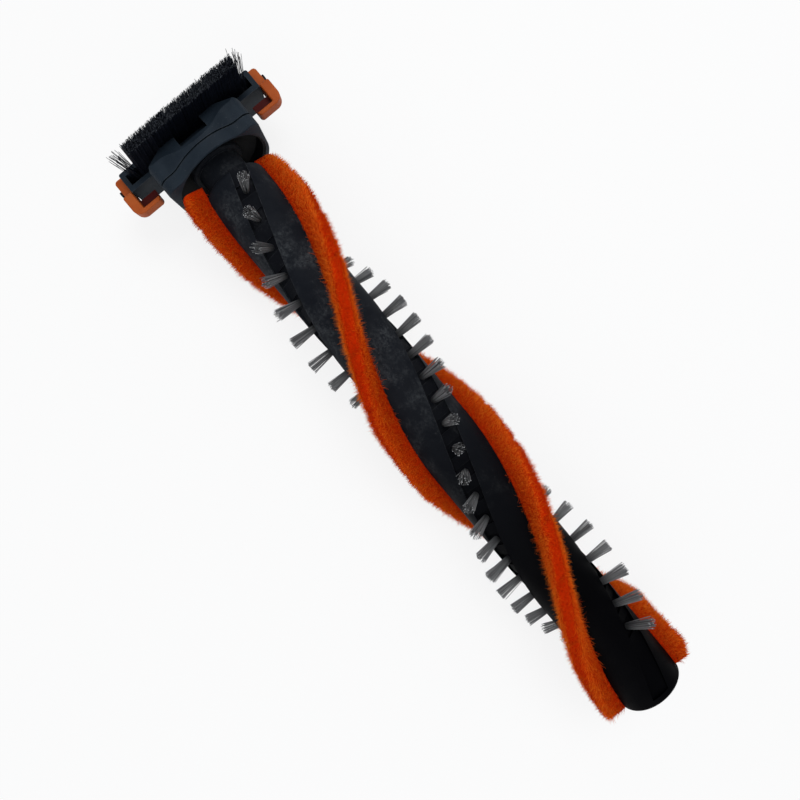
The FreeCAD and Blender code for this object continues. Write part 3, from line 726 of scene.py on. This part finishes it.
def pile_shaping():
    """Fibres all over a fin, brushed outwards from the roller's axis, with thicker locks among them."""
    inputs = {
        "Density": "Float", "Fibre length": "Float", "Fibre radius": "Float", "Stand": "Float",
        "Flare": "Float", "Clump": "Float", "Ruffle": "Float", "Locks": "Float", "Root radius": "Float",
        "Helix pitch": "Float", "Top": "Float", "Half width": "Float", "Block end": "Float", "Seed": "Int",
        "Finish": "Material",
    }
    shaping = Shaping("pile", inputs)
    tree = shaping.tree
    seed = shaping.value("Seed")

    # The body, with painted light stored as its tone: darker along the middle of the crown, lighter towards
    # the sides, and a little lighter on one side than the other.
    x, y, z = shaping.place().parts()
    reach = (y * y + z * z).power(0.5)
    outward = arrow_of(tree, 0.0, y, z).unit()
    turned = (x - shaping.value("Top")) * TURN / shaping.value("Helix pitch")
    across = (y * turned.cosine() + z * turned.sine()) / shaping.value("Half width") * -1.0
    tangle, _ = noise_field(tree, shaping.place(), 700.0, 2.0, 0.6)
    lit = (across.size() + (tangle - 0.5) * 0.7).ramp(0.1, 0.85, 0.1, 1.0)
    lit = lit * across.ramp(-0.9, 0.9, 0.82, 0.9)
    body = shaping.keep(shaping.entry.outputs[0], "tone", lit * 0.7)
    body = shaping.keep(body, "along", 0.0)

    # Roots of the fibres: none inside the channel, more on the flanks.
    bare = reach.sum("GREATER_THAN", reach, shaping.value("Root radius"))
    slope = Arrow(tree, shaping.add("GeometryNodeInputNormal").outputs[0]).dot(outward)
    flank = slope.ramp(0.55, 0.95, 1.0, 0.0)
    density = shaping.value("Density") * (flank * 0.7 + 0.6)
    spread = {"Mesh": body, "Selection": bare, "Density": density, "Seed": seed}
    scatter = shaping.add("GeometryNodeDistributePointsOnFaces", spread, distribute_method="RANDOM")
    surface = Arrow(tree, scatter.outputs["Normal"])

    # How each fibre lies: outwards, off the surface, with its clump, and ruffled.
    _, clump = noise_field(tree, shaping.place(), 330.0, 2.0, 0.6)
    brushed = reach.ramp(LAND_R, PLUSH_TIP_R, 0.4, 0.9)
    lie = outward * shaping.value("Stand") + surface * (shaping.value("Flare") * brushed)
    lock = random_number(tree, 0.0, 1.0, seed + 9)
    lock = lock.sum("GREATER_THAN", lock, 1.0 - shaping.value("Locks"))
    ruffle = random_arrow(tree, seed + 3) * (shaping.value("Ruffle") * (lock * 0.7 + 1.0))
    lie = lie + clump * shaping.value("Clump") + ruffle

    # How long and thick it is: longer on the flanks and in a lock, short at both ends.
    beside = surface.dot(outward).ramp(0.25, 1.0, 1.0, 0.0)
    end_face = surface.parts()[0].size().ramp(0.5, 0.8)
    block_end = shaping.value("Block end")
    trimmed = x.ramp(block_end, block_end + TRIM_L, TRIM_LEFT, 1.0)
    long = random_number(tree, 0.45, 1.25, seed + 5) * (beside * 0.3 + 0.7)
    long = long * trimmed * (1.0 - end_face * 0.65) * (lock * 0.3 + 1.0)
    thick = lock * 0.35 + 1.0

    cone = {
        "Vertices": 3, "Side Segments": 1, "Radius Top": 0.0, "Radius Bottom": shaping.value("Fibre radius"),
        "Depth": shaping.value("Fibre length"),
    }
    fibre = shaping.add("GeometryNodeMeshCone", cone, fill_type="NONE").outputs[0]
    fibre = shaping.keep(fibre, "along", shaping.place().parts()[2] / shaping.value("Fibre length"))
    planted = {
        "Points": scatter.outputs["Points"], "Instance": fibre, "Rotation": shaping.turned_to(lie.unit()),
        "Scale": arrow_of(tree, thick, thick, long),
    }
    pile = shaping.add("GeometryNodeInstanceOnPoints", planted).outputs[0]
    tone = random_number(tree, 0.6, 1.0, seed + 7).most(lock * 0.9)
    # Each fibre's tone is its random tone times the painted light of the flanks.
    pile = shaping.keep(pile, "tone", tone * lit, domain="INSTANCE")
    joined = shaping.add("GeometryNodeJoinGeometry")
    tree.links.new(pile, joined.inputs[0])
    tree.links.new(body, joined.inputs[0])
    shaping.close(joined.outputs[0])
    return shaping


PILE = pile_shaping()
for seed, (strip, top_x) in enumerate(PLUSH_TOP.items()):
    values = {
        "Density": PILE_DENSITY, "Fibre length": FIBRE_L, "Fibre radius": FIBRE_R, "Stand": 1.0,
        "Flare": 0.9, "Clump": 0.9, "Ruffle": 0.7, "Locks": 0.25, "Root radius": PILE_ROOT_R,
        "Helix pitch": HELIX_PITCH, "Top": top_x, "Half width": FIN_HALF_W,
        "Block end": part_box(strip)[0].x + FIN_BLOCK_GAP, "Seed": 11 + 20 * seed, "Finish": plush,
    }
    fin = PILE.make(strip.replace("strip", "fin"), values, fin_mesh(strip, top_x))
    fin.data.shade_smooth()
    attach(fin, "roller")
    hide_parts(strip)


# Bristle tufts.


def tuft_shaping():
    """A row of bristle bundles along a screw line."""
    inputs = {
        "Tufts": "Int", "First": "Float", "Step": "Float", "Closing": "Float", "Helix pitch": "Float",
        "Top": "Float", "Seat radius": "Float", "Bundle radius": "Float",
        "Spacing": "Float", "Length": "Float", "Splay": "Float", "Lean": "Float", "Filament radius": "Float",
        "Seed": "Int", "Finish": "Material",
    }
    shaping = Shaping("tuft_row", inputs)
    tree = shaping.tree
    seed = shaping.value("Seed")

    # Seats of the bundles along the screw, with each bundle's own axis stored.
    count = {"Count": shaping.entry.outputs["Tufts"]}
    line = shaping.add("GeometryNodeMeshLine", count, mode="OFFSET").outputs[0]
    number = Number(tree, shaping.add("GeometryNodeInputIndex").outputs[0])
    shorter = number * (number - 1.0) * 0.5 * shaping.value("Closing")
    x = shaping.value("First") + number * shaping.value("Step") - shorter
    angle = (x - shaping.value("Top")) * TURN / shaping.value("Helix pitch")
    axis = arrow_of(tree, 0.0, angle.sine() * -1.0, angle.cosine())
    line = shaping.keep(line, "bundle_axis", axis, "FLOAT_VECTOR")
    axis = shaping.kept_arrow("bundle_axis")
    seat = arrow_of(tree, x, 0.0, 0.0) + axis * shaping.value("Seat radius")
    line = shaping.add("GeometryNodeSetPosition", {"Geometry": line, "Position": seat}).outputs[0]
    line = shaping.keep(line, "bundle_heart", shaping.place(), "FLOAT_VECTOR")
    heart = shaping.kept_arrow("bundle_heart")

    # Roots of the filaments on a disc at each seat.
    ring = {"Vertices": TUFT_DISC_SIDES, "Radius": shaping.value("Bundle radius")}
    disc = shaping.add("GeometryNodeMeshCircle", ring, fill_type="NGON").outputs[0]
    laid = {"Points": line, "Instance": disc, "Rotation": shaping.turned_to(axis)}
    discs = shaping.add("GeometryNodeInstanceOnPoints", laid).outputs[0]
    discs = shaping.add("GeometryNodeRealizeInstances", {"Geometry": discs}).outputs[0]
    spread = {
        "Mesh": discs, "Distance Min": shaping.value("Spacing"), "Density Max": DENSITY_LIMIT, "Seed": seed,
    }
    scatter = shaping.add("GeometryNodeDistributePointsOnFaces", spread, distribute_method="POISSON")

    # How each filament lies: splayed from the bundle's heart, with a few loose ones.
    offset = (shaping.place() - heart) * (1.0 / TUFT_ROOT_R)
    lie = axis + offset * shaping.value("Splay") + random_arrow(tree, seed + 3) * shaping.value("Lean")
    _, bias = noise_field(tree, heart, 900.0, 1.0, 0.5)
    loose = random_number(tree, 0.0, 1.0, seed + 11)
    loose = loose.sum("GREATER_THAN", loose, TUFT_LOOSE_FROM)
    lie = lie + bias * TUFT_BIAS + random_arrow(tree, seed + 13) * (loose * TUFT_LOOSE_TILT)

    bristle = shaping.filament(5, 2, shaping.value("Filament radius"), shaping.value("Length"))
    long = random_number(tree, 0.955, 1.0, seed + 5)
    planted = {
        "Points": scatter.outputs["Points"], "Instance": bristle, "Rotation": shaping.turned_to(lie.unit()),
        "Scale": arrow_of(tree, 1.0, 1.0, long),
    }
    bundles = shaping.add("GeometryNodeInstanceOnPoints", planted).outputs[0]
    locks, _ = noise_field(tree, shaping.place(), 1500.0, 2.0, 0.5)
    tone = random_number(tree, 0.0, 0.45, seed + 7) + locks.ramp(0.38, 0.62, 0.0, 0.55)
    shaping.close(shaping.keep(bundles, "tone", tone, domain="INSTANCE"))
    return shaping


TUFTS = tuft_shaping()
tuft_length = TUFT_TIP_R - TUFT_SEAT_R
for seed, row in enumerate(ROW_TOP):
    values = {
        "Tufts": ROW_COUNT[row], "First": ROW_FIRST[row], "Step": ROW_STEP[row],
        "Closing": ROW_CLOSING[row], "Helix pitch": HELIX_PITCH, "Top": ROW_TOP[row],
        "Seat radius": TUFT_SEAT_R, "Bundle radius": TUFT_ROOT_R - TUFT_EDGE, "Spacing": TUFT_SPACING,
        "Length": tuft_length, "Splay": (TUFT_SPREAD_R - TUFT_ROOT_R) / tuft_length, "Lean": 0.022,
        "Filament radius": TUFT_FILAMENT_R, "Seed": 101 + 20 * seed, "Finish": tuft_nylon,
    }
    tufts = TUFTS.make(row.replace("bristle_", ""), values)
    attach(tufts, "roller")
    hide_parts(row)


# Bristle skirt.


def skirt_shaping():
    """Dense bristles in the trough, fanned out at both ends, with loose ones standing apart beyond them."""
    inputs = {
        "Thickness": "Float", "Half length": "Float", "Stray length": "Float", "Root": "Vector",
        "Spacing": "Float", "Length": "Float", "Fan": "Float", "Tilt": "Float", "Splay": "Float",
        "Lean": "Float", "Stray": "Float", "Bow": "Float", "Filament radius": "Float", "Seed": "Int",
        "Finish": "Material",
    }
    shaping = Shaping("skirt", inputs)
    tree = shaping.tree
    seed = shaping.value("Seed")

    # Roots of the bristles on a flat bed, with few of them in the stretches beyond the skirt's ends.
    half = shaping.value("Half length")
    thickness = shaping.value("Thickness")
    whole = (half + shaping.value("Stray length")) * 2.0
    patch = {"Size X": thickness, "Size Y": whole, "Vertices X": 2, "Vertices Y": SKIRT_ROWS}
    bed = shaping.add("GeometryNodeMeshGrid", patch).outputs[0]
    x, y, _ = shaping.place().parts()
    share = y / half
    apart = share.sum("GREATER_THAN", share.size(), 1.0)
    spread = {
        "Mesh": bed, "Distance Min": shaping.value("Spacing"), "Density Max": DENSITY_LIMIT,
        "Density Factor": apart * -0.88 + 1.0, "Seed": seed,
    }
    scatter = shaping.add("GeometryNodeDistributePointsOnFaces", spread, distribute_method="POISSON")

    # How each bristle lies: the skirt tilts to one side and fans out at its ends, and loose ones stray.
    upright = apart * share.sum("LESS_THAN", share, 0.0)
    fan = share * share.size().power(5.0) * shaping.value("Fan") + (1.0 - upright) * shaping.value("Tilt")
    lie = arrow_of(tree, x / thickness * shaping.value("Splay"), fan, 1.0)
    _, drift = noise_field(tree, shaping.place(), 260.0, 2.0, 0.5)
    loose = random_number(tree, 0.0, 1.0, seed + 11)
    loose = loose.sum("GREATER_THAN", loose, SKIRT_LOOSE_FROM - apart)
    stray = random_arrow(tree, seed + 13).by((0.6, 1.0, 0.3)) * shaping.value("Stray")
    lie = lie + drift * 0.035 + random_arrow(tree, seed + 3) * shaping.value("Lean") + stray * loose

    bristle = shaping.filament(3, 3, shaping.value("Filament radius"), shaping.value("Length"))
    long = random_number(tree, 0.965, 1.0, seed + 5) - share.size().power(2.0) * 0.02
    longer = random_number(tree, 0.0, 0.05, seed + 17) + share.ramp(0.9, 1.0, 0.0, 0.1)
    planted = {
        "Points": scatter.outputs["Points"], "Instance": bristle, "Rotation": shaping.turned_to(lie.unit()),
        "Scale": arrow_of(tree, 1.0, 1.0, long + apart * longer),
    }
    bristles = shaping.add("GeometryNodeInstanceOnPoints", planted).outputs[0]
    tone = random_number(tree, 0.0, 1.0, seed + 7)
    bristles = shaping.keep(bristles, "tone", tone, domain="INSTANCE")
    bristles = shaping.add("GeometryNodeRealizeInstances", {"Geometry": bristles}).outputs[0]

    # The bristles bow more and more towards their tips, then the skirt goes to its trough.
    _, wave = noise_field(tree, shaping.place().by((1.0, 1.0, 0.3)), 420.0, 1.0, 0.5)
    bow = wave * (shaping.kept_number("along").power(2.0) * shaping.value("Bow"))
    root = Arrow(tree, shaping.entry.outputs["Root"])
    moved = {"Geometry": bristles, "Offset": root + bow.by((1.0, 1.0, 0.2))}
    shaping.close(shaping.add("GeometryNodeSetPosition", moved).outputs[0])
    return shaping


SKIRT = skirt_shaping()
skirt_length = SKIRT_TIP_Z - SKIRT_ROOT_Z
skirt_values = {
    "Thickness": SKIRT_T, "Half length": SKIRT_HALF_L, "Stray length": SKIRT_STRAY_L,
    "Root": (SKIRT_MID_X, 0.0, SKIRT_ROOT_Z), "Spacing": SKIRT_SPACING, "Length": skirt_length,
    "Fan": SKIRT_FAN / skirt_length, "Tilt": SKIRT_LEAN / skirt_length,
    "Splay": (SKIRT_TIP_T - SKIRT_T) / skirt_length, "Lean": 0.014, "Stray": 0.09, "Bow": SKIRT_BOW,
    "Filament radius": SKIRT_FILAMENT_R, "Seed": 301, "Finish": skirt_nylon,
}
skirt = SKIRT.make("skirt", skirt_values)
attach(skirt, "end_block")
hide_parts("skirt_bristles")


# Finishes of the solid pieces.

for piece in frame["record"]["subparts"]:
    solid = nodes[piece["node"]]
    solid.data.materials.clear()
    solid.data.materials.append(FINISHES[piece["material_slot"]])


# Floor, light and camera.


def floor_finish():
    """Pale floor that the camera sees near white, with the object's soft shadow kept."""
    material = bpy.data.materials.new("pale_floor")
    material.use_nodes = True
    tree = material.node_tree
    tree.nodes.clear()
    rays = add(tree, "ShaderNodeLightPath")
    seen = Number(tree, rays.outputs["Is Camera Ray"])
    seen = seen.most(rays.outputs["Is Glossy Ray"]).most(rays.outputs["Is Transmission Ray"])
    matt = add(tree, "ShaderNodeBsdfDiffuse", {"Color": (0.86, 0.86, 0.86, 1.0)})
    white = add(tree, "ShaderNodeEmission", {"Color": (1.0, 1.0, 1.0, 1.0), "Strength": 1.0})
    mixed = add(tree, "ShaderNodeMixShader", {0: seen * 0.82, 1: matt.outputs[0], 2: white.outputs[0]})
    end = tree.nodes.new("ShaderNodeOutputMaterial")
    tree.links.new(mixed.outputs[0], end.inputs[0])
    return material


def round_floor():
    """Flat round floor under the end block's foot."""
    turns = [TURN * k / FLOOR_SIDES for k in range(FLOOR_SIDES)]
    rim = [(FLOOR_R * math.cos(t) + MIDDLE[0], FLOOR_R * math.sin(t), FLOOR_Z) for t in turns]
    mesh = bpy.data.meshes.new("floor")
    mesh.from_pydata(rim, [], [tuple(range(FLOOR_SIDES))])
    mesh.materials.append(floor_finish())
    floor = bpy.data.objects.new("floor", mesh)
    bpy.context.scene.collection.objects.link(floor)
    return floor


def lamp(name, place, aim, size, power):
    """Round soft lamp that looks at a place."""
    light = bpy.data.lights.new(name, "AREA")
    light.shape = "DISK"
    light.size = size
    light.energy = power
    holder = bpy.data.objects.new(name, light)
    holder.location = place
    holder.rotation_euler = (Vector(aim) - Vector(place)).to_track_quat("-Z", "Y").to_euler()
    bpy.context.scene.collection.objects.link(holder)


def studio_world():
    """Soft even light all round, which the camera sees as white."""
    world = bpy.data.worlds.new("studio")
    world.use_nodes = True
    tree = world.node_tree
    tree.nodes.clear()
    rays = add(tree, "ShaderNodeLightPath")
    seen = Number(tree, rays.outputs["Is Camera Ray"]).most(rays.outputs["Is Transmission Ray"])
    soft = add(tree, "ShaderNodeBackground", {"Color": (0.95, 0.97, 1.0, 1.0), "Strength": 0.54})
    clear = add(tree, "ShaderNodeBackground", {"Color": (1.0, 1.0, 1.0, 1.0), "Strength": 1.0})
    mixed = add(tree, "ShaderNodeMixShader", {0: seen, 1: soft.outputs[0], 2: clear.outputs[0]})
    end = tree.nodes.new("ShaderNodeOutputWorld")
    tree.links.new(mixed.outputs[0], end.inputs[0])
    return world


def photo_camera():
    """Camera straight above the brush, turned as in the photo."""
    eye = bpy.data.cameras.new("camera")
    eye.lens = CAMERA_LENS
    eye.sensor_width = CAMERA_SENSOR
    eye.clip_start = 10.0 * MM
    camera = bpy.data.objects.new("camera", eye)
    camera.location = CAMERA_PLACE
    camera.rotation_euler = (0.0, 0.0, math.radians(CAMERA_TURN))
    bpy.context.scene.collection.objects.link(camera)
    return camera


round_floor()
lamp("key", KEY_PLACE, MIDDLE, 0.55, 2.9)
lamp("fill", FILL_PLACE, MIDDLE, 0.8, 1.8)
bpy.context.scene.world = studio_world()
bpy.context.scene.camera = photo_camera()
bpy.context.scene.view_settings.view_transform = "Standard"
